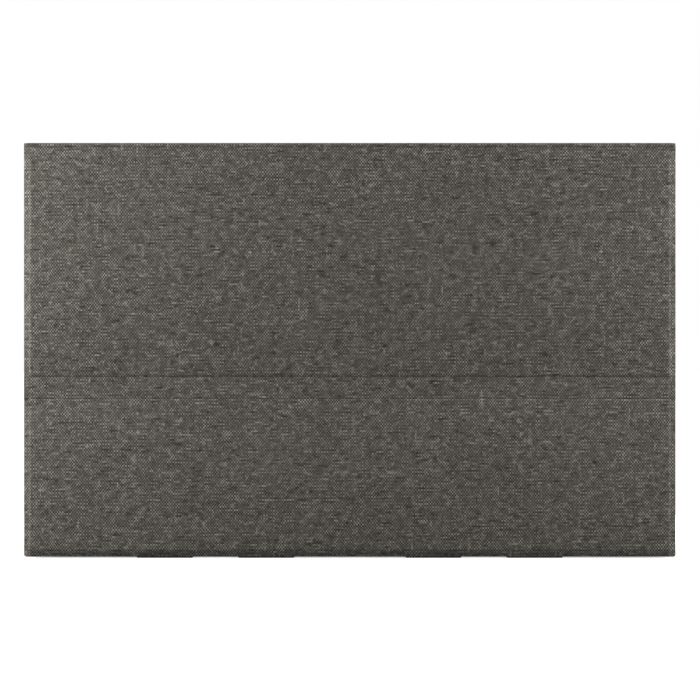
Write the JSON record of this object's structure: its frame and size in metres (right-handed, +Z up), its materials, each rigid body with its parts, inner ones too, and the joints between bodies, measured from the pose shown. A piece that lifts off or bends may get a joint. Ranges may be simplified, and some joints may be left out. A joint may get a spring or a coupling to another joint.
{
  "type": "portable monitor with folding cover",
  "caption": "Flat portable monitor with a rear stand and a woven cover that wraps over its top edge and folds across the screen.",
  "frame": {"origin": "middle of the part's box, at floor level under the feet", "axes": "+X to the viewer's right, +Y away from the viewer through the casing, +Z up"},
  "size_m": [0.355, 0.0188, 0.2261],
  "materials": {
    "cover_fabric": "woven, heathered grey-brown",
    "cover_lining": "fine matt suede-like",
    "cover_board": "pressed board",
    "magnet": "nickel-plated",
    "bezel_plastic": "fine texture",
    "screen_glass": "anti-glare",
    "film": "translucent",
    "acrylic": "clear",
    "diode_strip": "white strip with yellow diodes",
    "reflector_white": "white",
    "sheet_metal": "mill finish",
    "board_green": "solder mask",
    "flat_cable": "polyimide",
    "chip_black": "moulded",
    "steel": "plain",
    "port_metal": "stamped, plated",
    "black_plastic": "moulded",
    "plunger_brass": "plain",
    "key_plastic": "satin",
    "light_pipe": "clear",
    "lead_insulation": "soft insulation",
    "shell_grey": "fine metallic grey paint",
    "black_steel": "black",
    "foot_rubber": "matt",
    "stand_aluminium": "bead-blasted, anodised"
  },
  "bodies": {
    "monitor": {"flap_skin": "cover_fabric", "flap_board": "cover_board", "flap_magnets": "magnet", "flap_lining": "cover_lining", "rear_corner_strip": "cover_fabric", "front_bezel": "bezel_plastic", "bezel_magnets": "magnet", "lcd_cell": "screen_glass", "optical_films": "film", "light_guide": "acrylic", "led_strip": "diode_strip", "reflector_sheet": "reflector_white", "module_tray": "sheet_metal", "panel_driver_board": "board_green", "display_cable": "flat_cable", "support_frame": "sheet_metal", "main_board": "board_green", "main_board_chips": "chip_black", "board_screws": "steel", "usb_c_ports": "port_metal", "mini_display_port": "port_metal", "headphone_jack": "black_plastic", "button_board": "board_green", "button_cable": "flat_cable", "power_switch": "steel", "joy_switch": "steel", "status_light": "light_pipe", "speakers": "black_plastic", "speaker_leads": "lead_insulation", "rear_shell": "shell_grey", "rear_magnets": "magnet", "case_screws": "black_steel", "rubber_feet": "foot_rubber", "hinge_brackets": "steel", "hinge_screws": "steel", "hinge_pins": "steel"},
    "spine": {"spine_skin": "cover_fabric", "spine_lining": "cover_lining", "front_corner_strip": "cover_fabric"},
    "upper_panel": {"upper_skin": "cover_fabric", "upper_board": "cover_board", "upper_lining": "cover_lining", "fold_strip": "cover_fabric"},
    "lower_panel": {"lower_skin": "cover_fabric", "lower_board": "cover_board", "lower_magnets": "magnet", "lower_lining": "cover_lining"},
    "stand": {"stand_plate": "stand_aluminium", "stand_pads": "foot_rubber"},
    "power_button": {"power_button": "key_plastic"},
    "joy_plunger": {"joy_plunger": "plunger_brass"},
    "joy_gimbal": {"joy_gimbal": "steel"},
    "joy_cap": {"joy_cap": "key_plastic"}
  },
  "joints": [
    {"name": "stand_tilt", "type": "hinge", "parent": "monitor", "child": "stand", "pos_m": [0, 0.0026, 0.0068], "axis": [-1, 0, 0], "range_deg": [0, 90]},
    {"name": "cover_rear_bend", "type": "hinge", "parent": "monitor", "child": "spine", "pos_m": [0, 0.0065, 0.2251], "axis": [-1, 0, 0], "range_deg": [0, 155], "deforming": ["rear_corner_strip"]},
    {"name": "cover_front_bend", "type": "hinge", "parent": "spine", "child": "upper_panel", "pos_m": [0, -0.007, 0.2251], "axis": [-1, 0, 0], "range_deg": [0, 180], "deforming": ["front_corner_strip"]},
    {"name": "cover_fold", "type": "hinge", "parent": "upper_panel", "child": "lower_panel", "pos_m": [0, -0.0096, 0.09275], "axis": [-1, 0, 0], "range_deg": [0, 175], "deforming": ["fold_strip"]},
    {"name": "power_button_press", "type": "slide", "parent": "monitor", "child": "power_button", "axis": [1, 0, 0], "range_m": [0, 0.0004], "stiffness_N_per_m": 2000},
    {"name": "joy_press", "type": "slide", "parent": "monitor", "child": "joy_plunger", "axis": [1, 0, 0], "range_m": [0, 0.00025], "stiffness_N_per_m": 2000},
    {"name": "joy_rock_up_down", "type": "hinge", "parent": "joy_plunger", "child": "joy_gimbal", "pos_m": [-0.1736, -0.00005, 0.086], "axis": [0, 1, 0], "range_deg": [-4.5, 4.5], "stiffness_Nm_per_rad": 0.02},
    {"name": "joy_rock_side", "type": "hinge", "parent": "joy_gimbal", "child": "joy_cap", "pos_m": [-0.1736, -0.00005, 0.086], "axis": [0, 0, 1], "range_deg": [-4.5, 4.5], "stiffness_Nm_per_rad": 0.02}
  ]
}
